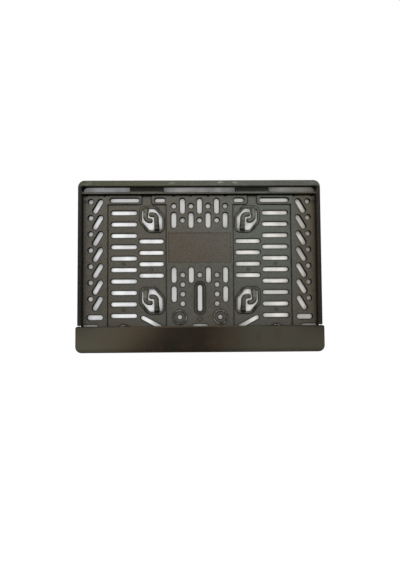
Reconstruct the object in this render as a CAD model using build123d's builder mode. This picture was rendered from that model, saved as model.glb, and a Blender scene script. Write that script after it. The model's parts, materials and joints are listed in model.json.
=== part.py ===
from build123d import *
import os

# Number plate holder for a motorcycle: a perforated tray with a top lip, and a strip that snaps over
# its lower edge. It stands upright as it is mounted, with X across the plate, Z up and the front
# towards -Y. The flat back lies in the plane Y = 0, and the origin is behind the plate's centre.
# Depths are measured forwards from that back plane.

# Number plate that the holder carries
plate_width = 240.0
plate_height = 150.0
plate_thickness = 1.0
plate_side_play = 2.5
plate_top_play = 1.0
plate_slot = 3.0

# Tray walls
rim_wall = 2.9
corner_radius = 7.0
panel_thickness = 2.4
land_rise = 0.8
ledge_rise = 2.0
lip_thickness = 1.8
lip_height = 6.2
rim_edge_radius = 0.8
rim_end_radius = 0.9

# Raised lands beside and between the thin panels, and the pads below the ledge
side_land_width = 26.5
centre_land_width = 70.0
pad_drop = 10.4
outer_pad_length = 35.6
inner_pad_length = 15.4
pad_corner_radius = 2.5

# Ledge behind the lip, with windows between its bar and its header, and gussets below
ledge_height = 10.3
ledge_bar = 2.2
ledge_wall = 2.0
window_header = 2.0
centre_window_length = 75.6
side_window_length = 49.4
side_window_gap = 0.4
window_corner_radius = 4.5
gusset_width = 1.5
gusset_drop = 1.8
gusset_rim_gap = 4.0
gusset_land_gap = 3.4

# Level screw slots in the thin panels and the pads
slot_width = 4.2
row_pitch = 12.0
top_row_drop = 19.1
outer_slot_length = 27.0
outer_slot_gap = 3.2
inner_slot_length = 25.8
inner_slot_gap = 2.7
inner_row_count = 4
inner_row_offset = 2.5
pad_slot_drop = 5.8
outer_pad_slot_length = 30.6
outer_pad_slot_gap = 2.2
inner_pad_slot_length = 10.8
inner_pad_slot_gap = 1.1
foot_slot_angle = 28.0
foot_slot_drop = 23.0

# Holes and short slots in the side lands
hole_diameter = 5.1
short_slot_length = 16.3
side_pitch = 17.0
side_row_count = 7
side_hole_gap = 8.5
side_hole_drop = 7.4
slant_inset = 7.5
slant_drop = 4.8
slant_angle = 60.0
side_bar_slot_gap = 13.4

# Holes, upright slots and the bare badge field in the centre land
grid_pitch = 18.0
upper_row_drop = 12.0
upper_row_pitch = 15.0
lower_row_rise = 51.9
lower_row_pitch = 10.0
lower_hole_count = 4
badge_width = 66.0
badge_height = 31.4
badge_drop = 56.1
badge_depth = 0.3
long_slot_length = 27.2
long_slot_width = 4.5
long_slot_rise = 27.7
head_recess_length = 35.0
head_recess_width = 12.0
head_recess_step = 0.6
head_recess_shelf = 1.9

# Ring bosses and small moulding marks
boss_hole_diameter = 4.7
boss_ring_diameter = 14.6
boss_ring_width = 1.0
boss_ring_rise = 0.7
boss_spacing = 42.2
boss_rise = 8.0
foot_boss_drop = 7.0
mark_diameter = 3.2
mark_depth = 0.3
mark_row_offsets = (4.5, 8.5)
corner_mark_gap = 3.0
corner_mark_drop = 7.9
gate_mark_diameter = 5.0
gate_mark_rise = 5.8
gate_mark_depth = 0.3

# Windows with sprung hook tongues
hook_inset = 14.9
hook_drop = 26.0
hook_spacing = 85.2
hook_window_width = 26.2
hook_window_height = 27.8
hook_cut_width = 9.3
hook_cut_height = 11.1
hook_rim = 2.3
hook_corner_radius = 6.0
tongue_width = 4.9
tongue_root_width = 6.2
tongue_taper = 9.0
tongue_thickness = 2.2
tongue_bend_radius = 4.2
tongue_ramp = 10.5
tongue_preload = 0.4
upper_tongue_stem = -6.2
upper_tongue_tip = (-1.2, -2.4)
lower_tongue_stem = 5.1
lower_tongue_tip = (-0.4, 4.1)

# Strip that snaps over the tray's lower edge
strip_overlap = 3.4
strip_height = 26.8
strip_skin = 2.0
strip_wall = 1.6
strip_overhang = 1.6
strip_play = 0.8
strip_edge_radius = 1.2
strip_bottom_radius = 6.5
strip_top_radius = 2.0
rim_end_gap = 0.7
seat_inset = 1.6
seat_play = 0.3
seat_corner_radius = 5.0
seat_land_drop = 3.5
back_gap = 0.3
rib_count = 7
rib_pitch = 34.0
rib_height = 9.3
rib_thickness = 1.6

# Snap tabs of the strip, and the windows that they pass
tab_thickness = 2.0
tab_plate_gap = 0.7
tab_side_play = 0.5
barb_reach = 1.2
latch_depth = 1.8
latch_gap = 0.2
tab_window_width = 16.0
tab_window_rise = 5.7
tab_window_web = 1.9
tab_window_radius = 2.0

# Keepers of the strip that reach behind the tray's lower edge
keeper_count = 3
keeper_pitch = 68.0
keeper_length = 18.0
keeper_reach = 1.9
keeper_thickness = 1.2

# Depths of the levels
land_front = panel_thickness + land_rise
ledge_front = land_front + ledge_rise
lip_back = ledge_front + plate_slot
rim_front = lip_back + lip_thickness
tongue_front = lip_back - plate_thickness + tongue_preload
strip_back = lip_back + strip_play
strip_front = strip_back + strip_skin

# Edges of the tray and the strip
inner_half = plate_width / 2 + plate_side_play
outer_half = inner_half + rim_wall
inner_top = plate_height / 2 + plate_top_play
outer_top = inner_top + rim_wall
plate_foot = -plate_height / 2
strip_top = plate_foot + strip_overlap
strip_bottom = strip_top - strip_height
strip_half = outer_half + strip_overhang
rim_end = strip_top + rim_end_gap
seat_half = outer_half - seat_inset
seat_bottom = strip_bottom + strip_wall + seat_play
seat_land_top = rim_end - seat_land_drop
lip_bottom = outer_top - lip_height
ledge_bottom = inner_top - ledge_height
pad_bottom = ledge_bottom - pad_drop
window_bottom = ledge_bottom + ledge_bar
window_top = inner_top - window_header
side_land_edge = inner_half - side_land_width
centre_land_edge = centre_land_width / 2

# Columns and rows of slots, holes and hooks
outer_column = side_land_edge - outer_slot_gap - outer_slot_length / 2
inner_column = centre_land_edge + inner_slot_gap + inner_slot_length / 2
top_row = ledge_bottom - top_row_drop
row_count = int((top_row - rim_end - slot_width) / row_pitch) + 1
outer_rows = [top_row - row_pitch * index for index in range(row_count)]
inner_rows = [top_row - row_pitch * (index + inner_row_offset) for index in range(inner_row_count)]
pad_row = ledge_bottom - pad_slot_drop
outer_pad_column = side_land_edge - outer_pad_slot_gap - outer_pad_slot_length / 2
inner_pad_column = centre_land_edge + inner_pad_slot_gap + inner_pad_slot_length / 2
side_column = inner_half - side_hole_gap
side_rows = [ledge_bottom - side_hole_drop - side_pitch * index for index in range(side_row_count)]
upper_row = ledge_bottom - upper_row_drop
lower_row = rim_end + lower_row_rise
lower_rows = [lower_row - lower_row_pitch * index for index in range(lower_hole_count)]
boss_row = rim_end + boss_rise
foot_boss_row = rim_end - foot_boss_drop
hook_column = centre_land_edge + hook_inset
upper_hook_row = ledge_bottom - hook_drop
lower_hook_row = upper_hook_row - hook_spacing
left_hooks = [(-hook_column, upper_hook_row), (-hook_column, lower_hook_row)]
foot_slot_row = lower_hook_row - foot_slot_drop

# Snap tabs and keepers
tab_column = seat_half - tab_window_web - tab_window_width / 2
tab_columns = (-tab_column, 0, tab_column)
tab_top = plate_foot - tab_plate_gap
tab_bottom = tab_top - tab_thickness
latch_edge = tab_bottom - latch_gap
tab_window_top = tab_top + tab_window_rise
keeper_foot = strip_bottom + strip_wall


def at_depth(depth):
    """The sketch plane at a depth in front of the back plane, seen from the front."""
    return Plane.XZ.offset(depth)


def bar(left, right, bottom, top, mode=Mode.ADD):
    """A rectangle in the sketch, given by its edges."""
    with Locations(((left + right) / 2, (bottom + top) / 2)):
        Rectangle(right - left, top - bottom, mode=mode)


def slots(column, rows, length, width, angle=0.0):
    """Slots in the sketch, one in each row of a column, turned from level by an angle."""
    with Locations(*[(column, row) for row in rows]):
        SlotOverall(length, width, rotation=angle)


def holes(column, rows, diameter):
    """Round holes in the sketch, one in each row of a column."""
    with Locations(*[(column, row) for row in rows]):
        Circle(diameter / 2)


def hook_window(inset):
    """The face of a hook window, cut off at two opposite corners and drawn in by an inset."""
    across = hook_window_width / 2
    up = hook_window_height / 2
    with BuildSketch() as window:
        with BuildLine():
            Polyline(
                (-across, up),
                (across - hook_cut_width, up),
                (across, up - hook_cut_height),
                (across, -up),
                (hook_cut_width - across, -up),
                (-across, hook_cut_height - up),
                close=True,
            )
        make_face()
        fillet(window.vertices(), hook_corner_radius)
        if inset:
            offset(amount=-inset, mode=Mode.REPLACE)
    return window.sketch


def tongue(stem, root, tip):
    """A sprung tongue about its window's centre: it leaves the rim, ramps forwards and hooks to its tip."""
    way = 1 if tip[1] > root else -1
    inner_root = root + way * hook_rim
    stem_start = inner_root + way * tongue_width
    ramp_end = inner_root + way * tongue_ramp
    reach = tip[1] + way * tongue_width
    low = -land_front + tongue_thickness / 2
    high = -tongue_front + tongue_thickness / 2
    with BuildPart() as piece:
        with BuildSketch(at_depth(0)):
            with BuildLine(mode=Mode.PRIVATE) as path:
                FilletPolyline((stem, stem_start), (stem, tip[1]), tip, radius=tongue_bend_radius)
            SlotArc(path.wire(), tongue_width)
            with BuildLine():
                Polyline(
                    (stem - tongue_root_width / 2, root),
                    (stem + tongue_root_width / 2, root),
                    (stem + tongue_width / 2, root + way * tongue_taper),
                    (stem - tongue_width / 2, root + way * tongue_taper),
                    close=True,
                )
            make_face()
        extrude(amount=rim_front)
        with BuildSketch(Plane.YZ):
            with BuildLine(mode=Mode.PRIVATE) as side:
                Line((low, root), (low, inner_root))
                middle = ((low + high) / 2, (inner_root + ramp_end) / 2)
                rise = TangentArc((low, inner_root), middle, tangent=(0, way))
                TangentArc(middle, (high, ramp_end), tangent=rise % 1)
                Line((high, ramp_end), (high, reach))
            SlotArc(side.wire(), tongue_thickness)
        extrude(amount=hook_window_width, both=True, mode=Mode.INTERSECT)
    return piece.part


hook_frame = hook_window(0)
hook_opening = hook_window(hook_rim)
hook_root = hook_window_height / 2
left_pair = [
    tongue(upper_tongue_stem, hook_root, upper_tongue_tip),
    tongue(lower_tongue_stem, -hook_root, lower_tongue_tip),
]
right_pair = [mirror(piece, about=Plane.YZ) for piece in left_pair]

with BuildPart() as tray:
    # Box of the rim, hollowed in front of the panel
    with BuildSketch(at_depth(0)) as box:
        bar(-outer_half, outer_half, rim_end, outer_top)
        fillet(box.vertices().group_by(Axis.Y)[-1], corner_radius)
        fillet(box.vertices().group_by(Axis.Y)[0], rim_end_radius)
    extrude(amount=rim_front)
    with BuildSketch(at_depth(panel_thickness)) as pocket:
        bar(-inner_half, inner_half, rim_end - rim_wall, inner_top)
        fillet(pocket.vertices().group_by(Axis.Y)[-1], corner_radius - rim_wall)
    extrude(amount=rim_front, mode=Mode.SUBTRACT)

    # Seat of the strip below the rim
    with BuildSketch(at_depth(0)) as seat:
        bar(-seat_half, seat_half, seat_bottom, rim_end)
        fillet(seat.vertices().group_by(Axis.Y)[0], seat_corner_radius)
    extrude(amount=panel_thickness)
    with BuildSketch(at_depth(0)) as seat_land:
        bar(-seat_half, seat_half, seat_bottom, seat_land_top)
        fillet(seat_land.vertices().group_by(Axis.Y)[0], seat_corner_radius)
    extrude(amount=land_front)

    # Raised lands, pads and the rims of the hook windows
    with BuildSketch(at_depth(0)):
        bar(-inner_half, -side_land_edge, seat_land_top, ledge_bottom)
        with BuildSketch(mode=Mode.PRIVATE) as outer_pad:
            bar(-side_land_edge, outer_pad_length - side_land_edge, pad_bottom, ledge_bottom)
            fillet(outer_pad.vertices().group_by(Axis.Y)[0].sort_by(Axis.X)[-1], pad_corner_radius)
        with BuildSketch(mode=Mode.PRIVATE) as inner_pad:
            bar(-inner_pad_length - centre_land_edge, -centre_land_edge, pad_bottom, ledge_bottom)
            fillet(inner_pad.vertices().group_by(Axis.Y)[0].sort_by(Axis.X)[0], pad_corner_radius)
        add(outer_pad.sketch)
        add(inner_pad.sketch)
        with Locations(*left_hooks):
            add(hook_frame)
        mirror(about=Plane.YZ)
        bar(-centre_land_edge, centre_land_edge, seat_land_top, ledge_bottom)
    extrude(amount=land_front)

    # Ring bosses
    with BuildSketch(at_depth(0)):
        holes(-boss_spacing / 2, [boss_row], boss_ring_diameter)
        holes(-outer_column, [foot_boss_row], boss_ring_diameter)
        mirror(about=Plane.YZ)
    extrude(amount=land_front + boss_ring_rise)
    with BuildSketch(at_depth(land_front)):
        holes(-boss_spacing / 2, [boss_row], boss_ring_diameter - 2 * boss_ring_width)
        holes(-outer_column, [foot_boss_row], boss_ring_diameter - 2 * boss_ring_width)
        mirror(about=Plane.YZ)
    extrude(amount=boss_ring_rise, mode=Mode.SUBTRACT)

    # Ledge with its gussets, cored from the back between the windows
    with BuildSketch(at_depth(0)):
        bar(-inner_half, inner_half, ledge_bottom, inner_top)
    extrude(amount=ledge_front)
    gusset_columns = [
        grid_pitch / 2,
        grid_pitch * 3 / 2,
        side_land_edge + gusset_land_gap,
        inner_half - gusset_rim_gap,
    ]
    with BuildSketch(*[Plane.YZ.offset(side * place) for place in gusset_columns for side in (-1, 1)]):
        with BuildLine():
            Polyline(
                (-ledge_front, ledge_bottom),
                (-land_front, ledge_bottom),
                (-land_front, ledge_bottom - gusset_drop),
                close=True,
            )
        make_face()
    extrude(amount=gusset_width / 2, both=True)
    side_window_end = inner_half - side_window_gap
    with BuildSketch(at_depth(0)):
        with BuildSketch(mode=Mode.PRIVATE) as side_window:
            bar(-side_window_end, side_window_length - side_window_end, window_bottom, window_top)
            fillet(side_window.vertices().group_by(Axis.Y)[-1].sort_by(Axis.X)[0], window_corner_radius)
        add(side_window.sketch)
        mirror(about=Plane.YZ)
        bar(-centre_window_length / 2, centre_window_length / 2, window_bottom, window_top)
    extrude(amount=ledge_front, mode=Mode.SUBTRACT)
    with BuildSketch(at_depth(0)):
        bar(
            side_window_length - side_window_end + ledge_wall,
            -centre_window_length / 2 - ledge_wall,
            window_bottom,
            window_top,
        )
        mirror(about=Plane.YZ)
    extrude(amount=ledge_front - ledge_wall, mode=Mode.SUBTRACT)

    # Lip over the top of the plate
    with BuildSketch(at_depth(lip_back)) as lip:
        bar(-outer_half, outer_half, rim_end, outer_top)
        fillet(lip.vertices().group_by(Axis.Y)[-1], corner_radius)
        bar(-outer_half, outer_half, lip_bottom, outer_top, mode=Mode.INTERSECT)
    extrude(amount=lip_thickness)

    # Every slot and hole through the panels
    with BuildSketch(at_depth(0)):
        slots(-outer_column, outer_rows, outer_slot_length, slot_width)
        slots(-inner_column, inner_rows, inner_slot_length, slot_width)
        slots(-outer_pad_column, [pad_row], outer_pad_slot_length, slot_width)
        slots(-inner_pad_column, [pad_row], inner_pad_slot_length, slot_width)
        slots(-hook_column, [foot_slot_row], inner_slot_length, slot_width, -foot_slot_angle)
        holes(-side_column, side_rows, hole_diameter)
        slant_rows = [row - slant_drop for row in side_rows]
        slots(slant_inset - side_column, slant_rows, short_slot_length, hole_diameter, slant_angle)
        slots(side_bar_slot_gap - inner_half, [boss_row], short_slot_length, hole_diameter)
        slots(-grid_pitch, [upper_row], short_slot_length, hole_diameter, 90)
        holes(-grid_pitch, [upper_row - upper_row_pitch], hole_diameter)
        holes(-grid_pitch, lower_rows, hole_diameter)
        for column in (grid_pitch / 2, grid_pitch * 3 / 2):
            holes(-column, [upper_row], hole_diameter)
            slots(-column, [upper_row - upper_row_pitch, lower_row], short_slot_length, hole_diameter, 90)
        slots(-grid_pitch * 3 / 2, [lower_row - 2 * lower_row_pitch], short_slot_length, hole_diameter, 90)
        holes(-boss_spacing / 2, [boss_row], boss_hole_diameter)
        holes(-outer_column, [foot_boss_row], boss_hole_diameter)
        with Locations(*left_hooks):
            add(hook_opening)
        mirror(about=Plane.YZ)
        slots(0, [upper_row], short_slot_length, hole_diameter, 90)
        holes(0, [upper_row - upper_row_pitch, lower_row], hole_diameter)
        slots(0, [rim_end + long_slot_rise], long_slot_length, long_slot_width, 90)
    extrude(amount=rim_front, mode=Mode.SUBTRACT)

    # Recess of the long slot, the bare badge field and the moulding marks
    for step in (1, 2):
        inset = 2 * head_recess_shelf * (step - 1)
        with BuildSketch(at_depth(land_front - head_recess_step * step)):
            slots(0, [rim_end + long_slot_rise], head_recess_length - inset, head_recess_width - inset, 90)
        extrude(amount=head_recess_step * step, mode=Mode.SUBTRACT)
    with BuildSketch(at_depth(land_front - badge_depth)):
        with Locations((0, ledge_bottom - badge_drop)):
            Rectangle(badge_width, badge_height)
    extrude(amount=badge_depth, mode=Mode.SUBTRACT)
    with BuildSketch(at_depth(panel_thickness - mark_depth)):
        holes(-outer_column, [top_row - row_pitch * offset for offset in mark_row_offsets], mark_diameter)
        holes(-inner_column, [inner_rows[-1] + row_pitch / 2], mark_diameter)
        mirror(about=Plane.YZ)
    extrude(amount=mark_depth, mode=Mode.SUBTRACT)
    with BuildSketch(at_depth(land_front - mark_depth)):
        holes(corner_mark_gap - inner_half, [ledge_bottom - corner_mark_drop], mark_diameter)
        mirror(about=Plane.YZ)
    extrude(amount=mark_depth, mode=Mode.SUBTRACT)
    with BuildSketch(at_depth(land_front - gate_mark_depth)):
        holes(0, [rim_end + gate_mark_rise], gate_mark_diameter)
    extrude(amount=gate_mark_depth, mode=Mode.SUBTRACT)

    # Windows for the snap tabs, with a latch step and a keeper step at the back
    with BuildSketch(at_depth(0)) as tab_windows:
        for column in tab_columns:
            bar(column - tab_window_width / 2, column + tab_window_width / 2, latch_edge, tab_window_top)
        fillet(tab_windows.vertices().group_by(Axis.Y)[-1], tab_window_radius)
    extrude(amount=rim_front, mode=Mode.SUBTRACT)
    with BuildSketch(at_depth(0)):
        for column in tab_columns:
            bar(
                column - tab_window_width / 2,
                column + tab_window_width / 2,
                latch_edge - barb_reach - latch_gap,
                latch_edge,
            )
    extrude(amount=latch_depth, mode=Mode.SUBTRACT)
    with BuildSketch(at_depth(0)):
        bar(-seat_half, seat_half, seat_bottom, keeper_foot + keeper_reach + seat_play)
    extrude(amount=back_gap + keeper_thickness + latch_gap, mode=Mode.SUBTRACT)

    # Soft front edge of the rim and the lip
    fillet(tray.faces().sort_by(Axis.Y)[0].edges(), rim_edge_radius)

    # Sprung tongues
    for side, pair in ((1, left_pair), (-1, right_pair)):
        with Locations(*[(side * column, 0, row) for column, row in left_hooks]):
            add(pair)

with BuildPart() as strip:
    # Shell, open at the back and at the top
    with BuildSketch(at_depth(back_gap)) as shell:
        bar(-strip_half, strip_half, strip_bottom, strip_top)
        fillet(shell.vertices().group_by(Axis.Y)[0], strip_bottom_radius)
        fillet(shell.vertices().group_by(Axis.Y)[-1], strip_top_radius)
    extrude(amount=strip_front - back_gap)
    fillet(strip.faces().sort_by(Axis.Y)[0].edges(), strip_edge_radius)
    with BuildSketch(at_depth(back_gap)) as hollow:
        bar(strip_wall - strip_half, strip_half - strip_wall, keeper_foot, strip_top + strip_top_radius)
        fillet(hollow.vertices().group_by(Axis.Y)[0], strip_bottom_radius - strip_wall)
    extrude(amount=strip_back - back_gap, mode=Mode.SUBTRACT)

    # Ribs that rest on the seat
    with BuildSketch(at_depth(land_front)):
        with Locations((0, keeper_foot + rib_height / 2)):
            with GridLocations(rib_pitch, 1, rib_count, 1):
                Rectangle(rib_thickness, rib_height)
    extrude(amount=strip_back - land_front)

    # Keepers behind the seat's lower edge
    with BuildSketch(at_depth(back_gap)):
        with Locations((0, keeper_foot + keeper_reach / 2)):
            with GridLocations(keeper_pitch, 1, keeper_count, 1):
                Rectangle(keeper_length, keeper_reach)
    extrude(amount=keeper_thickness)

    # Snap tabs with barbs
    barb_back = latch_depth - latch_gap
    with BuildSketch(*[Plane.YZ.offset(column) for column in tab_columns]):
        with BuildLine():
            Polyline(
                (-strip_back, tab_top),
                (-back_gap, tab_top),
                (-back_gap, tab_bottom),
                (-barb_back, tab_bottom - barb_reach),
                (-barb_back, tab_bottom),
                (-strip_back, tab_bottom),
                close=True,
            )
        make_face()
    extrude(amount=tab_window_width / 2 - tab_side_play, both=True)

os.makedirs("parts", exist_ok=True)
tray.part.label = "base_tray"
export_step(tray.part, "parts/base_tray.step")
strip.part.label = "bottom_strip"
export_step(strip.part, "parts/bottom_strip.step")
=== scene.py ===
import json
import math

import bmesh
import bpy
from mathutils import Matrix, Vector

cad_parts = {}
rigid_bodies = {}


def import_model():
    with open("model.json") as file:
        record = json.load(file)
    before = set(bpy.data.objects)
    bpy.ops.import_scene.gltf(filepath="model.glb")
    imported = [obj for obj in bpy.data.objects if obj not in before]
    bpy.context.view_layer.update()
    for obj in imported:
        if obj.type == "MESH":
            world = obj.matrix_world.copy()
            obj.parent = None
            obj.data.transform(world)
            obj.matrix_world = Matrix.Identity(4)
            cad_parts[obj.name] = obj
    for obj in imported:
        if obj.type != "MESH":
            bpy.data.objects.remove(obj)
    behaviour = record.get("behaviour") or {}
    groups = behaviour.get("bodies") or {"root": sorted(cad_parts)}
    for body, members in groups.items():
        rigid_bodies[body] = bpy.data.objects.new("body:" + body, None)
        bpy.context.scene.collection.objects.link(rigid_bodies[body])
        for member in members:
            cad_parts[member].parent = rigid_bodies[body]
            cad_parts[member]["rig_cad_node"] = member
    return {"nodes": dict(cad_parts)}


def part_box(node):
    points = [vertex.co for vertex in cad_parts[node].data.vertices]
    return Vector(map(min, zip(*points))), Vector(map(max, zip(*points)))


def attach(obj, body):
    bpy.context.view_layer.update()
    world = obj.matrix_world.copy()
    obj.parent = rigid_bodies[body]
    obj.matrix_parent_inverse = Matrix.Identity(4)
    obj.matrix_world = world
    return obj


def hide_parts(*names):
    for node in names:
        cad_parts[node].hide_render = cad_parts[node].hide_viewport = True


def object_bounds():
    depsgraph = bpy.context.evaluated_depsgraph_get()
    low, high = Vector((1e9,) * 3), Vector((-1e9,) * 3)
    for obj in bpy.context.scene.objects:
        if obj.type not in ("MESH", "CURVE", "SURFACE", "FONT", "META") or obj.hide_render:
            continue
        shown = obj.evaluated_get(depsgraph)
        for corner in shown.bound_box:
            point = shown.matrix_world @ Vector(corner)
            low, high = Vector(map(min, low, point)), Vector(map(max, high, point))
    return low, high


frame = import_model()
cad_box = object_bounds()

# Lengths are in metres. X runs across the holder, Z up, and its front faces -Y.
MM = 0.001
tray_low, tray_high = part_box("base_tray")
strip_low, strip_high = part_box("bottom_strip")

# Places on the tray, in front of its flat back
PANEL_FRONT = -2.4 * MM
LAND_FRONT = -3.2 * MM
LIP_BACK = -8.2 * MM
RIM_FRONT = tray_low.y
RIM_INNER = tray_high.x - 2.9 * MM
LIP_BOTTOM = tray_high.z - 6.2 * MM
LEDGE_BOTTOM = tray_high.z - 13.2 * MM

# Coarse field in the middle of the panel
FIELD_HALF_WIDTH = 33.0 * MM
FIELD_HALF_HEIGHT = 15.7 * MM
FIELD_CENTRE = 9.6 * MM
FIELD_MARGIN = 1.5 * MM
FIELD_DEEPEST = PANEL_FRONT + 0.4 * MM

# Hook openings, the raised frames round them, and the stems of their upper and lower tongues
HOOK_COLUMN = 49.9 * MM
HOOK_ROWS = (39.7 * MM, -45.5 * MM)
HOOK_HALF_WIDTH = 12.5 * MM
HOOK_HALF_HEIGHT = 13.2 * MM
FRAME_HALF_WIDTH = 15.0 * MM
FRAME_HALF_HEIGHT = 16.0 * MM
UPPER_STEM = 56.1 * MM
LOWER_STEM = 44.8 * MM
STEM_HALF_WIDTH = 2.8 * MM

# Ring bosses and the bosses under the strip: place across and up, and the crest's radius
RING_CRESTS = (
    (21.1 * MM, -62.9 * MM, 6.8 * MM),
    (79.3 * MM, -77.9 * MM, 6.8 * MM),
)
CREST_HALF_WIDTH = 0.8 * MM
# Painted shade in thin rings just inside and outside each crest: their offset and half width
GROOVE_OFFSET = 1.5 * MM
GROOVE_HALF_WIDTH = 1.0 * MM
RING_HALF_WIDTH = 4.0 * MM

# Rounding of the moulded edges
WELD = 0.002 * MM
FLAT_ANGLE = math.radians(0.5)
SHARP_ANGLE = math.radians(40)
TRAY_EDGE = 0.8 * MM
STRIP_EDGE = 0.3 * MM
BACK_EDGE = 0.2 * MM
HOOK_EDGE = 0.25 * MM
SMALLEST_EDGE = 0.1 * MM
EDGE_ROOM = 3.0
EDGE_SEGMENTS = 2

# Reach of the corners that are too tight to round
LIP_CORNER = 1.0 * MM
RIM_CORNER = 1.3 * MM
LEDGE_CORNER = 0.2 * MM
RIM_END = 3.0 * MM

# Photograph's camera: place, turn and lens
CAMERA_PLACE = Vector((-4.53, -400.93, -45.48)) * MM
CAMERA_PITCH = math.radians(2.290)
CAMERA_YAW = math.radians(-0.657)
CAMERA_ROLL = math.radians(0.369)
CAMERA_LENS = 24.129
CAMERA_SENSOR = 36.0
CAMERA_NEAR = 0.01
CAMERA_FAR = 20.0


# Moulded shapes

def span(face, edge):
    """How far a face reaches from one of its edges."""
    start, end = (corner.co for corner in edge.verts)
    along = (end - start).normalized()
    arms = [corner.co - start for corner in face.verts]
    return max((arm - along * arm.dot(along)).length for arm in arms)


def in_closed_corner(edge):
    """Whether an edge lies behind the lip, at a ledge's end or at a rim's end, too tight to round."""
    middle = (edge.verts[0].co + edge.verts[1].co) / 2
    behind_lip = middle.z > LIP_BOTTOM + LIP_CORNER and middle.y > LIP_BACK - LIP_CORNER
    beside_rim = abs(middle.x) > RIM_INNER - RIM_CORNER
    ledge_end = beside_rim and middle.z > LEDGE_BOTTOM - LEDGE_CORNER and middle.y > LIP_BACK
    rim_end = beside_rim and middle.z < strip_high.z + RIM_END
    return behind_lip or ledge_end or rim_end


def at_hook(place):
    """Whether a place lies inside the frame of a hook's opening."""
    beside = abs(abs(place.x) - HOOK_COLUMN) < HOOK_HALF_WIDTH
    return beside and any(abs(place.z - row) < HOOK_HALF_HEIGHT for row in HOOK_ROWS)


def mark_soft_edges(mesh, radius):
    """Give each sharp edge a bevel weight: the share of the radius that the faces beside it have room for."""
    form = bmesh.new()
    form.from_mesh(mesh)
    weight = form.edges.layers.float.new("bevel_weight_edge")
    for edge in form.edges:
        if edge.calc_face_angle(0) > SHARP_ANGLE and not in_closed_corner(edge):
            room = min(span(face, edge) for face in edge.link_faces) / EDGE_ROOM
            if max(corner.co.y for corner in edge.verts) > -BACK_EDGE:
                room = min(room, BACK_EDGE)
            if at_hook(edge.verts[0].co):
                room = min(room, HOOK_EDGE)
            edge[weight] = min(1.0, room / radius) if room > SMALLEST_EDGE else 0.0
    form.to_mesh(mesh)
    form.free()


def moulded_copy(node, name, radius):
    """A copy of a solid as one closed skin, with its moulded edges rounded."""
    bpy.ops.object.select_all(action="DESELECT")
    solid = frame["nodes"][node]
    solid.select_set(True)
    bpy.context.view_layer.objects.active = solid
    bpy.ops.object.duplicate()
    skin = bpy.context.view_layer.objects.active
    skin.name = name
    del skin["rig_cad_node"]
    bpy.ops.mesh.customdata_custom_splitnormals_clear()
    bpy.ops.object.mode_set(mode="EDIT")
    bpy.ops.mesh.select_all(action="SELECT")
    bpy.ops.mesh.remove_doubles(threshold=WELD)
    bpy.ops.mesh.dissolve_limited(angle_limit=FLAT_ANGLE)
    bpy.ops.object.mode_set(mode="OBJECT")
    mark_soft_edges(skin.data, radius)
    rounding = skin.modifiers.new("rounding", "BEVEL")
    rounding.width = radius
    rounding.segments = EDGE_SEGMENTS
    rounding.limit_method = "WEIGHT"
    rounding.use_clamp_overlap = False
    rounding.loop_slide = False
    bpy.ops.object.modifier_apply(modifier=rounding.name)
    bpy.ops.object.shade_smooth_by_angle(angle=SHARP_ANGLE)
    flats = skin.modifiers.new("flats", "WEIGHTED_NORMAL")
    flats.keep_sharp = True
    bpy.ops.object.modifier_apply(modifier=flats.name)
    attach(skin, "root")
    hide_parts(node)
    return skin


# Tools for finishes

def colour(red, green, blue):
    """An opaque colour in linear light."""
    return (red, green, blue, 1.0)


WHITE = colour(1.0, 1.0, 1.0)

# Rays that see the studio white
WHITE_RAYS = ("Is Camera Ray", "Is Glossy Ray", "Is Transmission Ray")

# Share of a ring's half width that is wholly covered
RING_CORE = 0.4

# Samples that look for sheltered places and for edges
OPENNESS_SAMPLES = 8
EDGE_SAMPLES = 6

# How far a face near an edge seems turned, and how much an edge towards the middle counts
EDGE_TURN = (0.995, 0.94)
LOWER_EDGE_TURN = (0.03, 0.14)
INWARD_SHARE = 0.6


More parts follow.
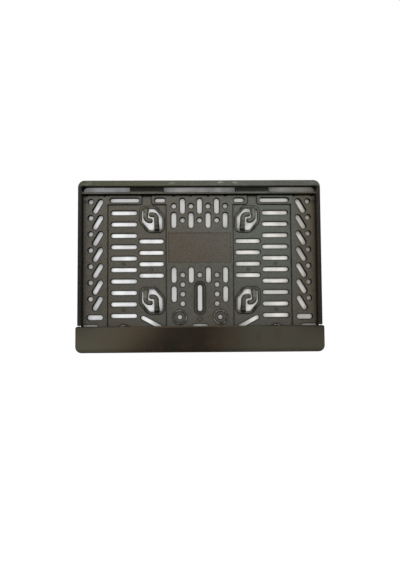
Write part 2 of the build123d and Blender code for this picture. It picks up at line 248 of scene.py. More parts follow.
class Shading:
    """Nodes that make up a finish or the studio's light."""

    def __init__(self, tree):
        self.nodes = tree.nodes
        self.links = tree.links

    def feed(self, socket, value):
        """Link a socket to another, or set it to a plain value."""
        if isinstance(value, bpy.types.NodeSocket):
            self.links.new(value, socket)
        else:
            socket.default_value = value

    def math(self, operation, *values):
        """One sum or comparison."""
        node = self.nodes.new("ShaderNodeMath")
        node.operation = operation
        for socket, value in zip(node.inputs, values):
            self.feed(socket, value)
        return node.outputs["Value"]

    def parts(self, vector):
        """The X, Y and Z of a vector."""
        node = self.nodes.new("ShaderNodeSeparateXYZ")
        self.links.new(vector, node.inputs["Vector"])
        return node.outputs

    def ease(self, value, low, high, start=0.0, end=1.0):
        """A smooth change from start to end as a value goes from low to high."""
        change = self.nodes.new("ShaderNodeMapRange")
        change.interpolation_type = "SMOOTHSTEP"
        for name, amount in (("Value", value), ("From Min", low), ("From Max", high)):
            self.feed(change.inputs[name], amount)
        self.feed(change.inputs["To Min"], start)
        self.feed(change.inputs["To Max"], end)
        return change.outputs["Result"]

    def both(self, *masks):
        """Where every mask holds."""
        result = masks[0]
        for mask in masks[1:]:
            result = self.math("MULTIPLY", result, mask)
        return result

    def any(self, *masks):
        """Where at least one mask holds."""
        result = masks[0]
        for mask in masks[1:]:
            result = self.math("MAXIMUM", result, mask)
        return result

    def outside(self, mask):
        """Where a mask doesn't hold."""
        return self.math("SUBTRACT", 1.0, mask)

    def add(self, value, mask, amount):
        """A value with an amount added where a mask holds."""
        return self.math("MULTIPLY_ADD", mask, amount, value)

    def seen(self, *rays):
        """Whether the surface is met by one of these kinds of ray."""
        path = self.nodes.new("ShaderNodeLightPath")
        return self.any(*[path.outputs[ray] for ray in rays])

    def emission(self, tint, strength):
        """A surface that gives off light of its own."""
        glow = self.nodes.new("ShaderNodeEmission")
        self.feed(glow.inputs["Color"], tint)
        self.feed(glow.inputs["Strength"], strength)
        return glow.outputs["Emission"]

    def mixed(self, share, first, second):
        """Two surfaces mixed by a share."""
        mix = self.nodes.new("ShaderNodeMixShader")
        self.links.new(share, mix.inputs["Fac"])
        self.links.new(first, mix.inputs[1])
        self.links.new(second, mix.inputs[2])
        return mix.outputs["Shader"]


class Finish(Shading):
    """A material in the making, patterned by places on the piece itself."""

    def __init__(self, name):
        self.material = bpy.data.materials.new(name)
        self.material.use_nodes = True
        super().__init__(self.material.node_tree)
        self.shader = self.nodes["Principled BSDF"]
        source = self.nodes.new("ShaderNodeTexCoord")
        self.place = source.outputs["Object"]
        self.x, self.y, self.z = self.parts(self.place)
        self.across = self.math("ABSOLUTE", self.x)
        self.sideways, forwards, self.upward = self.parts(source.outputs["Normal"])
        self.facing = self.math("ABSOLUTE", forwards)

    def show(self, surface):
        """Show a surface of the finish's own in place of the first one."""
        self.nodes.remove(self.shader)
        self.links.new(surface, self.nodes["Material Output"].inputs["Surface"])

    def noise(self, size, detail, stretch=(1.0, 1.0, 1.0)):
        """Random lumps of a size in metres, drawn out along an axis by its stretch."""
        spread = self.nodes.new("ShaderNodeMapping")
        self.feed(spread.inputs["Vector"], self.place)
        self.feed(spread.inputs["Scale"], [1.0 / (size * factor) for factor in stretch])
        lumps = self.nodes.new("ShaderNodeTexNoise")
        self.feed(lumps.inputs["Vector"], spread.outputs["Vector"])
        self.feed(lumps.inputs["Scale"], 1.0)
        self.feed(lumps.inputs["Detail"], detail)
        return lumps.outputs["Fac"]

    def length(self, across, up):
        """The distance that two steps at right angles make."""
        square = self.math("MULTIPLY", up, up)
        return self.math("SQRT", self.math("MULTIPLY_ADD", across, across, square))

    def spot(self, x, z, half_width, half_height, softness=0.5):
        """A soft oval mask on the front, about a place."""
        across = self.math("DIVIDE", self.math("SUBTRACT", self.x, x), half_width)
        up = self.math("DIVIDE", self.math("SUBTRACT", self.z, z), half_height)
        return self.ease(self.length(across, up), 1.0 + softness, 1.0 - softness)

    def ring(self, x, z, radius, half_width):
        """A soft mask along a circle on the front, on both halves of the piece."""
        across = self.math("SUBTRACT", self.across, x)
        up = self.math("SUBTRACT", self.z, z)
        offset = self.math("ABSOLUTE", self.math("SUBTRACT", self.length(across, up), radius))
        return self.ease(offset, half_width, RING_CORE * half_width)

    def at_hooks(self, half_width, half_height):
        """A mask about each hook's opening."""
        rows = [self.math("COMPARE", self.z, row, half_height) for row in HOOK_ROWS]
        return self.both(self.math("COMPARE", self.across, HOOK_COLUMN, half_width), self.any(*rows))

    def openness(self, reach, local=True):
        """How open the surface lies: 1 on a free face, less in corners, under overhangs and in holes."""
        look = self.nodes.new("ShaderNodeAmbientOcclusion")
        look.samples = OPENNESS_SAMPLES
        look.only_local = local
        self.feed(look.inputs["Distance"], reach)
        return look.outputs["AO"]

    def near_edges(self, width):
        """Where a face is near any edge, and where near one that turns downwards or to the middle."""
        rounded = self.nodes.new("ShaderNodeBevel")
        rounded.samples = EDGE_SAMPLES
        self.feed(rounded.inputs["Radius"], width)
        sideways, forwards, upward = self.parts(rounded.outputs["Normal"])
        turned = self.math("ABSOLUTE", forwards)
        lowered = self.math("SUBTRACT", self.upward, upward)
        inward = self.math("SUBTRACT", self.sideways, sideways)
        inward = self.math("MULTIPLY", inward, self.math("SIGN", self.x))
        lowered = self.any(lowered, self.math("MULTIPLY", inward, INWARD_SHARE))
        return self.ease(turned, *EDGE_TURN), self.ease(lowered, *LOWER_EDGE_TURN)

    def blend(self, share, first, second):
        """Two colours mixed by a share."""
        mix = self.nodes.new("ShaderNodeMix")
        mix.data_type = "RGBA"
        self.feed(mix.inputs["Factor"], share)
        self.feed(mix.inputs["A"], first)
        self.feed(mix.inputs["B"], second)
        return mix.outputs["Result"]

    def shaded(self, tone, factor):
        """A colour made lighter or darker by a factor."""
        scale = self.nodes.new("ShaderNodeVectorMath")
        scale.operation = "SCALE"
        self.feed(scale.inputs["Vector"], tone)
        self.feed(scale.inputs["Scale"], factor)
        return scale.outputs["Vector"]

    def bump(self, height, depth, base=None):
        """Fine relief, of a depth in metres, on top of other relief."""
        relief = self.nodes.new("ShaderNodeBump")
        self.feed(relief.inputs["Height"], height)
        self.feed(relief.inputs["Distance"], depth)
        if base:
            self.feed(relief.inputs["Normal"], base)
        return relief.outputs["Normal"]


# Tray's finish

# Blacks of the moulding, warmer towards its middle and its right
PANEL_BLACK = colour(0.083, 0.075, 0.060)
COOL_BLACK = colour(0.099, 0.107, 0.094)
BROWN_BLACK = colour(0.082, 0.071, 0.050)
LIP_OLIVE = colour(0.058, 0.058, 0.036)
LIP_GREY = colour(0.078, 0.081, 0.067)
FIELD_BROWN = colour(0.080, 0.064, 0.048)
# Painted shade: the rims' fronts darker than the rest of the moulding
RIM_SHADE_BLACK = colour(0.016, 0.017, 0.016)
# Painted shade: near-black on the walls of openings, beside edges and on the tongues' lower edges
WALL_SHADE_BLACK = colour(0.008, 0.008, 0.007)
SCUFF_GREY = colour(0.36, 0.36, 0.35)
CORNER_TEAL = colour(0.15, 0.19, 0.17)
# Painted highlight on the rings' crests
CREST_HIGHLIGHT_GREY = colour(0.26, 0.255, 0.235)
TRAY_GLOSS = (1.0, 0.97, 0.89)

# Patterns in the skin: size, detail and stretch along X, Y and Z
DRIFT = (70.0 * MM, 1.0)
MOTTLE = (1.3 * MM, 3.0)
GRAIN = (0.45 * MM, 2.0)
FLOW = (1.6 * MM, 2.0, (1.0, 1.0, 7.0))
STREAKS = (0.7 * MM, 1.0, (1.0, 1.0, 16.0))
DRAG = (0.6 * MM, 2.0, (40.0, 1.0, 1.0))
CRUMBS = (0.8 * MM, 3.0, (2.5, 1.0, 1.0))
# Noise that breaks up the painted crest highlights
CREST_GLINTS = (5.0 * MM, 1.0)
FIELD_BLOTCHES = (9.0 * MM, 3.0)

# Fades between zones, from one place to another
FRONT_FADE = (RIM_FRONT + 1.2 * MM, RIM_FRONT + 0.6 * MM)
LIP_FADE = (LIP_BOTTOM - 1.0 * MM, LIP_BOTTOM)
BELOW_LIP_FADE = (LIP_BOTTOM + 0.3 * MM, LIP_BOTTOM - 0.3 * MM)
STANDING_FADE = (LAND_FRONT - 0.5 * MM, LAND_FRONT - 1.0 * MM)
RAISED_FADE = (LAND_FRONT - 0.6 * MM, LAND_FRONT - 1.2 * MM)
LOW_LYING_FADE = (LAND_FRONT - 0.6 * MM, LAND_FRONT - 0.3 * MM)
WALL_FADE = (LAND_FRONT - 2.6 * MM, LAND_FRONT - 2.4 * MM)
RIM_FADE = (RIM_INNER - 0.4 * MM, RIM_INNER - 0.1 * MM)
SIDE_SKIN_FADE = (tray_high.x - 1.4 * MM, tray_high.x - 0.8 * MM)
TOP_SKIN_FADE = (tray_high.z - 1.4 * MM, tray_high.z - 0.8 * MM)
LEDGE_FADE = (LEDGE_BOTTOM - 2.0 * MM, LEDGE_BOTTOM + 2.0 * MM)
STEM_FADE = (STEM_HALF_WIDTH, STEM_HALF_WIDTH - 0.6 * MM)
GROOVE_FADE = (-52.0 * MM, -54.0 * MM)
BROWN_FADE = (90.0 * MM, 112.0 * MM)
LIP_GREY_FADE = (-80.0 * MM, 60.0 * MM)
COOL_SIDE = (72.0 * MM, 22.0 * MM, 48.0 * MM, 60.0 * MM, 0.9)

# Fades by how far a face turns to the front, from 0 on a wall to 1 on a flat front
WALL_TURN = (0.997, 0.96)
TONGUE_TURN = (0.55, 0.25)
CREST_TURN = (0.45, 0.75)
RIM_TURN = (0.4, 0.7)

# Fades of a pattern or of openness: from and to, then the share at each end
DRIFT_FADE = (0.35, 0.65, 0.0, 0.3)
CRUMB_FADE = (0.40, 0.56)
RUB_FADE = (0.40, 0.68, 0.0, 0.55)
CREST_FADE = (0.42, 0.60, 0.0, 0.9)
FIELD_SLOPE_FADE = (-25.0 * MM, 45.0 * MM, 1.0, 0.45)
BLOTCH_FADE = (0.3, 0.65, 0.6, 1.1)
MOTTLE_LIGHT = (0.28, 0.72, 0.78, 1.22)
DRAG_LIGHT = (0.3, 0.7, -0.16, 0.16)
GRAIN_LIGHT = 0.30
GROOVE_SHADE = -0.15

# How far the tray's painted shade reaches into its own corners and creases, and how dark it gets
SHADE_REACH = 8.0 * MM
SHADE_FADE = (0.50, 0.97, 0.22, 1.0)
CREASE_REACH = 2.0 * MM
CREASE_FADE = (0.55, 0.95, 0.3, 1.0)
RIM_OPENNESS = 0.9

# Painted shade as dark outlines beside the edges, and the share by which frames and rings quiet them
OUTLINE = 2.6 * MM
OUTLINE_SHARE = 0.6
FRAME_QUIET = 0.6
RING_QUIET = 0.7

# Shade at the tongues' roots and light on the lower ramps, by height from the middle of their opening
FRAME_END = HOOK_HALF_HEIGHT + 0.6 * MM
FRAME_FADE = 1.4 * MM
UPPER_ROOT = (9.0 * MM, 12.5 * MM, 0.0, 0.45)
LOWER_ROOT = (-8.5 * MM, -11.0 * MM, 0.0, 1.65)
LOWER_RAMP = (-3.0 * MM, -6.0 * MM, 0.0, -0.8)

# Roughness by the mottle, and its changes by zone
TRAY_ROUGHNESS = (0.3, 0.7, 0.46, 0.56)
LIP_ROUGHNESS = -0.10
TONGUE_ROUGHNESS = 0.10
RIM_ROUGHNESS = -0.20
STREAK_ROUGHNESS = -0.08
WORN_ROUGHNESS = 0.08
WALL_ROUGHNESS = 0.35
TRAY_SPECULAR = 0.25
# Painted shade on reflections from walls
WALL_REFLECTION_SHADE = -0.85

# Relief of the skin, and its changes by zone
GRAIN_DEPTH = 0.05 * MM
FLOW_DEPTH = 0.03 * MM
SMOOTH_RELIEF = -0.75
FIELD_RELIEF = 0.8

# Scuffs on the lip: centre across and up, half width and half height
LIP_SCUFFS = (
    (22.2 * MM, 76.5 * MM, 3.4 * MM, 0.7 * MM),
    (37.1 * MM, 76.3 * MM, 2.6 * MM, 0.6 * MM),
    (-28.7 * MM, 75.9 * MM, 2.6 * MM, 0.9 * MM),
)
CORNER_RUBS = (
    (-115.3 * MM, 75.5 * MM, 4.5 * MM, 2.4 * MM),
    (115.6 * MM, 75.6 * MM, 3.6 * MM, 2.6 * MM),
)


class TrayFinish(Finish):
    """Matt black moulding: fine spark grain, painted shade on edges and in corners, smooth lip, painted
    highlights on the ring crests, and scuffs.
    """

    def __init__(self, name):
        super().__init__(name)
        self.mottle = self.noise(*MOTTLE)
        self.grain = self.noise(*GRAIN)
        self.find_zones()
        self.find_wall_shade()
        self.find_painted_shade()
        self.find_wear_and_ring_light()

    def at_field(self, margin):
        """The middle field, with a margin round it."""
        offset = self.math("ABSOLUTE", self.math("SUBTRACT", self.z, FIELD_CENTRE))
        return self.both(
            self.math("LESS_THAN", self.across, FIELD_HALF_WIDTH + margin),
            self.math("LESS_THAN", offset, FIELD_HALF_HEIGHT + margin),
        )

    def find_zones(self):
        """The lip, the rims, the middle field, and the tongues with their stems down to the root."""
        self.lip = self.both(self.ease(self.y, *FRONT_FADE), self.ease(self.z, *LIP_FADE))
        standing = self.both(self.ease(self.y, *STANDING_FADE), self.ease(self.z, *BELOW_LIP_FADE))
        self.rims = self.both(standing, self.ease(self.across, *RIM_FADE))
        self.field = self.both(self.at_field(0.0), self.math("LESS_THAN", self.y, FIELD_DEEPEST))
        stems = []
        for column in (UPPER_STEM, LOWER_STEM):
            offset = self.math("ABSOLUTE", self.math("SUBTRACT", self.across, column))
            stems.append(self.ease(offset, *STEM_FADE))
        self.upper_stems, self.lower_stems = stems
        raised = self.ease(self.y, *RAISED_FADE)
        hooks = self.at_hooks(HOOK_HALF_WIDTH, HOOK_HALF_HEIGHT)
        self.tongues = self.both(hooks, self.any(raised, *stems))

    def find_wall_shade(self):
        """Painted shade: the walls of the openings, dark outlines beside them and the tongues' lower edges.
        """
        outlines, lower_edges = self.near_edges(OUTLINE)
        frames = self.at_hooks(FRAME_HALF_WIDTH, FRAME_HALF_HEIGHT)
        rings = self.any(*[self.ring(*place, RING_HALF_WIDTH) for place in RING_CRESTS])
        quiet = self.any(
            self.math("MULTIPLY", frames, FRAME_QUIET),
            self.math("MULTIPLY", rings, RING_QUIET),
            self.at_field(FIELD_MARGIN),
        )
        low_lying = self.ease(self.y, *LOW_LYING_FADE)
        outlines = self.both(outlines, self.outside(quiet), low_lying, OUTLINE_SHARE)
        outer_skin = self.any(self.ease(self.across, *SIDE_SKIN_FADE), self.ease(self.z, *TOP_SKIN_FADE))
        edges = self.both(
            self.any(self.ease(self.facing, *WALL_TURN), outlines),
            self.ease(self.y, *WALL_FADE),
            self.outside(self.any(self.tongues, self.rims, outer_skin)),
        )
        tongue_edges = self.any(self.ease(self.facing, *TONGUE_TURN), lower_edges)
        self.walls = self.any(edges, self.both(self.tongues, tongue_edges))

    def tongue_roots(self, row):
        """Shade at the roots of one row of tongues, less the light on the lower ones' ramps."""
        height = self.math("SUBTRACT", self.z, row)
        upper = self.both(self.upper_stems, self.ease(height, *UPPER_ROOT))
        lower = self.math("ADD", self.ease(height, *LOWER_ROOT), self.ease(height, *LOWER_RAMP))
        roots = self.math("ADD", upper, self.both(self.lower_stems, lower))
        above = self.ease(height, -FRAME_END, -FRAME_END + FRAME_FADE)
        below = self.ease(height, FRAME_END, FRAME_END - FRAME_FADE)
        return self.both(roots, above, below)

    def find_painted_shade(self):
        """Painted shade as a share of light: less in corners, in creases and at the tongues' roots."""
        self.painted_shade = self.both(
            self.ease(self.openness(SHADE_REACH), *SHADE_FADE),
            self.ease(self.openness(CREASE_REACH), *CREASE_FADE),
        )
        open_rims = self.math("MULTIPLY", self.rims, RIM_OPENNESS)
        self.painted_shade = self.any(self.painted_shade, open_rims, self.ease(self.z, *LEDGE_FADE))
        for row in HOOK_ROWS:
            self.painted_shade = self.both(self.painted_shade, self.outside(self.tongue_roots(row)))

    def find_wear_and_ring_light(self):
        """Scuffs and rubbed corners of the lip, painted highlights on the rings' crests and painted shade in
        lines beside them.
        """
        crumbs = self.ease(self.noise(*CRUMBS), *CRUMB_FADE)
        rubs = self.ease(self.mottle, *RUB_FADE)
        self.scuffs = self.both(self.any(*[self.spot(*place) for place in LIP_SCUFFS]), crumbs, self.lip)
        self.corners = self.both(self.any(*[self.spot(*place) for place in CORNER_RUBS]), rubs, self.lip)
        crest_highlights = self.any(*[self.ring(*place, CREST_HALF_WIDTH) for place in RING_CRESTS])
        worn = self.ease(self.noise(*CREST_GLINTS), *CREST_FADE)
        self.crest_highlights = self.both(crest_highlights, worn, self.ease(self.facing, *CREST_TURN))
        ring_shade_lines = []
        for x, z, radius in RING_CRESTS:
            for side in (radius - GROOVE_OFFSET, radius + GROOVE_OFFSET):
                ring_shade_lines.append(self.ring(x, z, side, GROOVE_HALF_WIDTH))
        self.ring_shade_lines = self.both(self.any(*ring_shade_lines), self.ease(self.z, *GROOVE_FADE))

    def tone(self):
        """Colour: blacks by zone with painted shade on the rims and walls, lightened and darkened by grain
        and by painted shade, with painted crest highlights and the wear on top.
        """
        tone = self.blend(self.ease(self.noise(*DRIFT), *DRIFT_FADE), PANEL_BLACK, COOL_BLACK)
        tone = self.blend(self.spot(*COOL_SIDE), tone, COOL_BLACK)
        tone = self.blend(self.ease(self.x, *BROWN_FADE), tone, BROWN_BLACK)
        lip_tone = self.blend(self.ease(self.x, *LIP_GREY_FADE), LIP_OLIVE, LIP_GREY)
        tone = self.blend(self.lip, tone, lip_tone)
        slope = self.ease(self.math("ADD", self.x, self.z), *FIELD_SLOPE_FADE)
        blotches = self.ease(self.noise(*FIELD_BLOTCHES), *BLOTCH_FADE)
        tone = self.blend(self.both(self.field, slope, blotches), tone, FIELD_BROWN)
        # Painted shade on the rims' fronts
        tone = self.blend(self.both(self.rims, self.ease(self.facing, *RIM_TURN)), tone, RIM_SHADE_BLACK)
        # Painted shade on walls, beside edges and on the tongues' lower edges
        tone = self.blend(self.walls, tone, WALL_SHADE_BLACK)
        lightness = self.math("SUBTRACT", self.ease(self.mottle, *MOTTLE_LIGHT), GRAIN_LIGHT / 2)
        lightness = self.add(lightness, self.grain, GRAIN_LIGHT)
        dragged = self.both(self.lip, self.ease(self.noise(*DRAG), *DRAG_LIGHT))
        lightness = self.math("ADD", lightness, dragged)
        # Painted shade beside the ring crests
        lightness = self.add(lightness, self.ring_shade_lines, GROOVE_SHADE)
        # Painted shade in corners, creases and at the tongues' roots
        tone = self.shaded(tone, self.both(lightness, self.painted_shade))
        # Painted highlights on the rings' crests
        tone = self.blend(self.crest_highlights, tone, CREST_HIGHLIGHT_GREY)
        tone = self.blend(self.corners, tone, CORNER_TEAL)
        return self.blend(self.scuffs, tone, SCUFF_GREY)

    def roughness(self):
        """Roughness: smoother on the lip and the rims, rougher on walls, tongues and worn places."""
        rough = self.ease(self.mottle, *TRAY_ROUGHNESS)
        rough = self.add(rough, self.lip, LIP_ROUGHNESS)
        rough = self.add(rough, self.tongues, TONGUE_ROUGHNESS)
        rough = self.add(rough, self.rims, RIM_ROUGHNESS)
        rough = self.add(rough, self.both(self.tongues, self.noise(*STREAKS)), STREAK_ROUGHNESS)
        rough = self.add(rough, self.any(self.field, self.scuffs, self.corners), WORN_ROUGHNESS)
        return self.add(rough, self.walls, WALL_ROUGHNESS)

    def sheen(self):
        """Tint of the gloss: painted shade on the reflections in corners, in creases and on walls."""
        return self.shaded(TRAY_GLOSS, self.both(self.painted_shade, self.add(1.0, self.walls, WALL_REFLECTION_SHADE)))

    def relief(self):
        """Grain, weaker on the lip and the tongues and stronger on the field, and flow lines of the melt."""
        strength = self.add(1.0, self.any(self.lip, self.tongues), SMOOTH_RELIEF)
        strength = self.add(strength, self.field, FIELD_RELIEF)
        relief = self.bump(self.both(self.grain, strength), GRAIN_DEPTH)
        relief = self.bump(self.both(self.mottle, strength), GRAIN_DEPTH, relief)
        return self.bump(self.noise(*FLOW), FLOW_DEPTH, relief)


def grained_black():
    """The tray's finish."""
    finish = TrayFinish("grained_black")
    sockets = finish.shader.inputs
    finish.feed(sockets["Base Color"], finish.tone())
    finish.feed(sockets["Roughness"], finish.roughness())
    finish.feed(sockets["Specular IOR Level"], TRAY_SPECULAR)
    finish.feed(sockets["Specular Tint"], finish.sheen())
    finish.feed(sockets["Normal"], finish.relief())
    return finish.material


# Strip's finish

STRIP_BLACK = colour(0.011, 0.0098, 0.0078)
STRIP_RUST = colour(0.030, 0.015, 0.010)
STRIP_GLOSS = colour(1.0, 0.93, 0.68)
# Browner gloss tint in the strip's middle: a painted reflection
STRIP_REFLECTION_BROWN = colour(1.0, 0.78, 0.52)

# Patterns in the skin: size, detail and stretch along X, Y and Z
SMEARS = (26.0 * MM, 3.0, (1.6, 1.0, 1.0))
STAINS = (9.0 * MM, 2.0)
FINGER_MARKS = (3.0 * MM, 2.0)
HAIRLINES = (0.35 * MM, 2.0, (40.0, 1.0, 1.0))
DUST = (0.5 * MM, 1.0)

# Fades: from and to, then the share at each end
STAIN_FADE = (0.55, 0.75, 0.0, 0.5)
FINGER_FADE = (0.3, 0.6, 0.15, 0.55)
DUST_FADE = (0.78, 0.84, 0.0, 0.15)
HAIR_FADE = (0.6, 0.75)
ROUND_TURN = (0.99, 0.93)
SIDE_TURN = (0.1, 0.4)
# Painted shade on the gloss towards the strip's bottom
LOWER_SHADE_FADE = (strip_low.z + 6.0 * MM, strip_low.z + 1.0 * MM, 0.0, 0.35)
# Place of the painted browner reflection in the strip's middle
BROWN_REFLECTION_MIDDLE = (-30.0 * MM, -85.0 * MM, 62.0 * MM, 60.0 * MM, 0.3)

# Lightness, roughness, sheen and relief
SMEAR_LIGHT = 0.4
LEAST_LIGHT = 0.8
STRIP_ROUGHNESS = (0.3, 0.7, 0.12, 0.18)
HAIR_ROUGHNESS = 0.08
SMUDGE_ROUGHNESS = 0.2
STRIP_SPECULAR = 0.87
SMUDGE_SHEEN = -0.35
# Painted shade on the gloss at the strip's rounded edges
EDGE_REFLECTION_SHADE = -0.85
HAIR_DEPTH = 0.004 * MM
SMEAR_DEPTH = 0.12 * MM

# Handling smudges: centre across and up, half width and half height
SMUDGE_SOFTNESS = 0.8
STRIP_SMUDGES = (
    (32.1 * MM, -85.0 * MM, 6.0 * MM, 7.0 * MM),
    (78.1 * MM, -79.3 * MM, 3.5 * MM, 6.0 * MM),
    (59.6 * MM, -84.2 * MM, 2.5 * MM, 4.0 * MM),
    (14.0 * MM, -90.0 * MM, 9.0 * MM, 6.0 * MM),
)


def satin_black():
    """Smooth satin black of the strip: handling smears and smudges, hairline scratches, and a warm sheen,
    with a painted browner reflection in the middle and painted shade on the gloss at its rounded edges and
    towards the bottom.
    """
    finish = Finish("satin_black")
    sockets = finish.shader.inputs
    smear = finish.noise(*SMEARS)
    hair = finish.noise(*HAIRLINES)
    smudges = finish.any(*[finish.spot(*place, SMUDGE_SOFTNESS) for place in STRIP_SMUDGES])
    smudges = finish.both(smudges, finish.ease(finish.noise(*FINGER_MARKS), *FINGER_FADE))
    edges = finish.both(finish.ease(finish.facing, *ROUND_TURN), finish.ease(finish.facing, *SIDE_TURN))
    lower_shade = finish.ease(finish.z, *LOWER_SHADE_FADE)

    tone = finish.blend(finish.ease(finish.noise(*STAINS), *STAIN_FADE), STRIP_BLACK, STRIP_RUST)
    tone = finish.blend(smudges, tone, STRIP_RUST)
    tone = finish.shaded(tone, finish.add(LEAST_LIGHT, smear, SMEAR_LIGHT))
    tone = finish.blend(finish.ease(finish.noise(*DUST), *DUST_FADE), tone, SCUFF_GREY)
    finish.feed(sockets["Base Color"], tone)

    rough = finish.ease(smear, *STRIP_ROUGHNESS)
    rough = finish.add(rough, finish.ease(hair, *HAIR_FADE), HAIR_ROUGHNESS)
    rough = finish.add(rough, finish.any(smudges, edges), SMUDGE_ROUGHNESS)
    finish.feed(sockets["Roughness"], rough)
    finish.feed(sockets["Specular IOR Level"], STRIP_SPECULAR)
    # Gloss tint with painted shade at the edges and towards the bottom
    sheen = finish.both(
        finish.add(1.0, smudges, SMUDGE_SHEEN),
        finish.add(1.0, edges, EDGE_REFLECTION_SHADE),
        finish.outside(lower_shade),
    )
    # Painted browner reflection in the middle
    glow = finish.blend(finish.spot(*BROWN_REFLECTION_MIDDLE), STRIP_GLOSS, STRIP_REFLECTION_BROWN)
    finish.feed(sockets["Specular Tint"], finish.shaded(glow, sheen))

    relief = finish.bump(hair, HAIR_DEPTH)
    finish.feed(sockets["Normal"], finish.bump(smear, SMEAR_DEPTH, relief))
    return finish.material


def dress(piece, material):
    """Give a piece its one finish and the slot that it stands for."""
    piece.data.materials.clear()
    piece.data.materials.append(material)


tray = moulded_copy("base_tray", "tray_moulding", TRAY_EDGE)
dress(tray, grained_black())
strip = moulded_copy("bottom_strip", "strip_moulding", STRIP_EDGE)
dress(strip, satin_black())


# Studio

UPRIGHT = (math.pi / 2, 0, 0)
SLANTED = (math.pi / 2, math.radians(45), 0)
SIDEWAYS = (0, math.pi / 2, 0)
LEVEL = (0, 0, 0)

# Floor, and its own light by the distance from the middle
FLOOR_LEVEL = cad_box[0].z - 0.42
FLOOR_SIZE = 6.0
FLOOR_LIFT = (0.2, 0.6, 0.55, 1.12)
PAPER_WHITE = colour(0.90, 0.90, 0.89)
PAPER_SHADE = colour(0.16, 0.16, 0.15)

# Card behind the tray that glows, and its own light: from left to right behind slots and windows, then by
# place, with painted shade near the openings' edges
CARD_GAP = 0.3 * MM
CARD_INSET = 2.0 * MM
CARD_REACH = 14.0 * MM
CARD_COOL = colour(0.89, 0.90, 0.91)
CARD_WARM = colour(0.90, 0.87, 0.81)
LEFT_TO_RIGHT = (tray_low.x, tray_high.x)
SLOT_LIFT = (1.62, 1.18)
WINDOW_LIFT = (0.88, 0.78)
BEHIND_LIP = (62.0 * MM, 68.0 * MM)
SIDE_LIFT = (94.0 * MM, 99.0 * MM, 1.0, 0.78)
CLOUDS = (16.0 * MM, 1.0)
CLOUD_LIFT = (0.3, 0.7, 0.82, 1.18)
HOOK_LIFT = 0.18
PAD_MOST = (50.0 * MM, 56.0 * MM, 1.05, 0.62)
CENTRE_EDGE = (30.0 * MM, 37.0 * MM)
CENTRE_MOST = 0.64
DEPTH_SHADE = 1.2

# Dark flags that only gloss sees, as painted reflections: centre, width, height, turn and tone
FLAGS = {
    "middle_flag": ((-0.066, -0.62, -0.145), 0.115, 0.36, SLANTED, 0.14),
    "middle_flag_right": ((-0.005, -0.625, -0.22), 0.10, 0.36, UPRIGHT, 0.16),
    "middle_flag_edge": ((0.080, -0.63, -0.22), 0.09, 0.36, UPRIGHT, 0.52),
    "right_low_flag": ((0.3825, -0.63, -0.22), 0.515, 0.36, UPRIGHT, 0.78),
    "left_front_flag": ((-0.72, -0.62, 0.06), 0.90, 0.34, UPRIGHT, 0.06),
    "right_front_flag": ((0.72, -0.62, 0.06), 0.90, 0.34, UPRIGHT, 0.06),
    "left_flag": ((-0.5, 0.12, 0.05), 1.0, 0.95, SIDEWAYS, 0.03),
    "right_flag": ((0.5, 0.12, 0.05), 1.0, 0.95, SIDEWAYS, 0.03),
    "roof_flag": ((0, 0.33, 0.5), 1.0, 0.7, LEVEL, 0.03),
    "floor_flag": ((0, 0.3, FLOOR_LEVEL + MM), 1.0, 0.85, LEVEL, 0.03),
}

# Lamps that face the holder: place, width, height and power
LAMPS = {
    "top_panel": ((-0.06, -0.62, 0.72), 0.30, 0.20, 9.9),
    "back_panel": ((0.0, 0.75, 0.60), 0.6, 0.5, 5.0),
    "left_panel": ((-0.90, 0.28, 0.25), 0.5, 0.5, 4.5),
    "right_panel": ((0.90, 0.28, 0.25), 0.5, 0.5, 4.5),
}
LAMP_TARGET = Vector((0, 0, 0))

# Light from all round: the direction that it is strongest in, and its fade to the level opposite
FILL_DIRECTION = (0.0, -0.8, 0.6)
FILL_FADE = (-0.3, 0.9, 0.07, 0.26)


def flat_sheet(name, centre, width, height, turn):
    """A plain sheet of the studio, with its place and turn in its mesh."""
    bpy.ops.object.select_all(action="DESELECT")
    bpy.ops.mesh.primitive_plane_add(size=1.0, location=centre, rotation=turn)
    sheet = bpy.context.view_layer.objects.active
    sheet.name = name
    sheet.scale = (width, height, 1.0)
    bpy.ops.object.transform_apply(location=True, rotation=True, scale=True)
    return sheet


def floor_paper():
    """White floor that fades into the white behind it, and is dark to all other light."""
    finish = Finish("floor_paper")
    away = finish.any(finish.across, finish.math("ABSOLUTE", finish.y))
    seen = finish.seen(*WHITE_RAYS)
    surface = finish.nodes.new("ShaderNodeBsdfDiffuse")
    finish.feed(surface.inputs["Color"], finish.blend(seen, PAPER_SHADE, PAPER_WHITE))
    glow = finish.emission(PAPER_WHITE, finish.both(seen, finish.ease(away, *FLOOR_LIFT)))
    total = finish.nodes.new("ShaderNodeAddShader")
    finish.links.new(surface.outputs["BSDF"], total.inputs[0])
    finish.links.new(glow, total.inputs[1])
    finish.show(total.outputs["Shader"])
    return finish.material


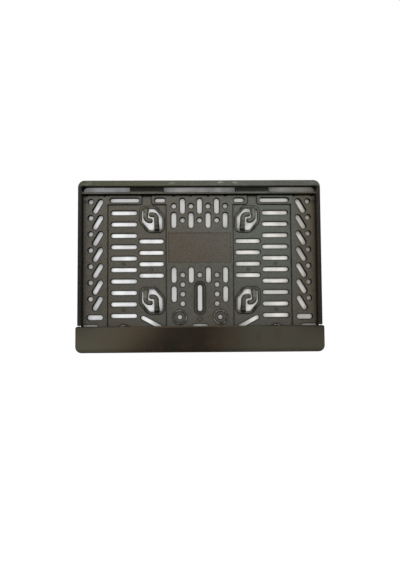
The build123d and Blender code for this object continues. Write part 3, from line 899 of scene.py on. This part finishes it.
def card_paper():
    """White card that glows and that only the front sees, cooler on its left, with painted shade behind the
    lip and near the edges of the openings.
    """
    finish = Finish("card_paper")
    behind_lip = finish.ease(finish.z, *BEHIND_LIP)
    slots = finish.both(
        finish.ease(finish.x, *LEFT_TO_RIGHT, *SLOT_LIFT),
        finish.ease(finish.across, *SIDE_LIFT),
        finish.outside(behind_lip),
    )
    windows = finish.both(finish.ease(finish.x, *LEFT_TO_RIGHT, *WINDOW_LIFT), behind_lip)
    hooks = finish.at_hooks(HOOK_HALF_WIDTH, HOOK_HALF_HEIGHT)
    lift = finish.both(
        finish.math("ADD", slots, windows),
        finish.ease(finish.noise(*CLOUDS), *CLOUD_LIFT),
        finish.add(1.0, hooks, HOOK_LIFT),
        finish.math("POWER", finish.openness(CARD_REACH, local=False), DEPTH_SHADE),
    )
    most = finish.ease(finish.across, *CENTRE_EDGE, CENTRE_MOST, finish.ease(finish.z, *PAD_MOST))
    lift = finish.math("MINIMUM", lift, most)
    tint = finish.blend(finish.ease(finish.x, *LEFT_TO_RIGHT), CARD_COOL, CARD_WARM)
    glow = finish.emission(tint, finish.both(finish.seen("Is Camera Ray"), lift))
    behind = finish.nodes.new("ShaderNodeNewGeometry").outputs["Backfacing"]
    through = finish.nodes.new("ShaderNodeBsdfTransparent").outputs["BSDF"]
    finish.show(finish.mixed(behind, glow, through))
    return finish.material


def dark_flag(name, centre, width, height, turn, tone):
    """A dark card that glows at its tone and shows only in reflections, as a painted reflection."""
    flag = flat_sheet(name, centre, width, height, turn)
    finish = Finish(name)
    finish.show(finish.emission(WHITE, tone))
    flag.data.materials.append(finish.material)
    flag.visible_camera = False
    flag.visible_diffuse = False
    flag.visible_shadow = False


def soft_light(name, place, width, height, power):
    """A large soft panel lamp that faces the holder."""
    lamp = bpy.data.lights.new(name, "AREA")
    lamp.shape = "RECTANGLE"
    lamp.size = width
    lamp.size_y = height
    lamp.energy = power
    panel = bpy.data.objects.new(name, lamp)
    bpy.context.scene.collection.objects.link(panel)
    panel.location = place
    panel.rotation_euler = (LAMP_TARGET - Vector(place)).to_track_quat("-Z", "Y").to_euler()
    panel.visible_camera = False


def studio_world():
    """Soft light that comes mostly from above the camera, with white behind the object."""
    world = bpy.data.worlds.new("studio")
    bpy.context.scene.world = world
    world.use_nodes = True
    studio = Shading(world.node_tree)
    nodes, links = studio.nodes, studio.links
    towards = nodes.new("ShaderNodeVectorMath")
    towards.operation = "DOT_PRODUCT"
    towards.inputs[1].default_value = FILL_DIRECTION
    links.new(nodes.new("ShaderNodeTexCoord").outputs["Generated"], towards.inputs[0])
    fill = nodes["Background"]
    studio.feed(fill.inputs["Color"], WHITE)
    studio.feed(fill.inputs["Strength"], studio.ease(towards.outputs["Value"], *FILL_FADE))
    white = nodes.new("ShaderNodeBackground")
    studio.feed(white.inputs["Color"], WHITE)
    studio.feed(white.inputs["Strength"], 1.0)
    seen = studio.seen(*WHITE_RAYS)
    backdrop = studio.mixed(seen, fill.outputs["Background"], white.outputs["Background"])
    links.new(backdrop, nodes["World Output"].inputs["Surface"])


floor = flat_sheet("floor", (0, 0, FLOOR_LEVEL), FLOOR_SIZE, FLOOR_SIZE, LEVEL)
floor.data.materials.append(floor_paper())

card_centre = (tray_low + tray_high) / 2
card_centre.y = tray_high.y + CARD_GAP
card_width = tray_high.x - tray_low.x - 2 * CARD_INSET
card_height = tray_high.z - tray_low.z - 2 * CARD_INSET
card = flat_sheet("backing_card", card_centre, card_width, card_height, UPRIGHT)
card.data.materials.append(card_paper())
card.visible_diffuse = False
card.visible_shadow = False

for name, layout in FLAGS.items():
    dark_flag(name, *layout)

for name, layout in LAMPS.items():
    soft_light(name, *layout)

studio_world()

lens = bpy.data.cameras.new("camera")
lens.lens = CAMERA_LENS
lens.sensor_width = CAMERA_SENSOR
lens.clip_start = CAMERA_NEAR
lens.clip_end = CAMERA_FAR
camera = bpy.data.objects.new("camera", lens)
bpy.context.scene.collection.objects.link(camera)
turn = Matrix.Rotation(CAMERA_YAW, 4, "Z") @ Matrix.Rotation(CAMERA_PITCH, 4, "X")
turn = turn @ Matrix.Rotation(CAMERA_ROLL, 4, "Y") @ Matrix.Rotation(math.pi / 2, 4, "X")
camera.matrix_world = Matrix.Translation(CAMERA_PLACE) @ turn
bpy.context.scene.camera = camera

bpy.context.scene.view_settings.view_transform = "Standard"
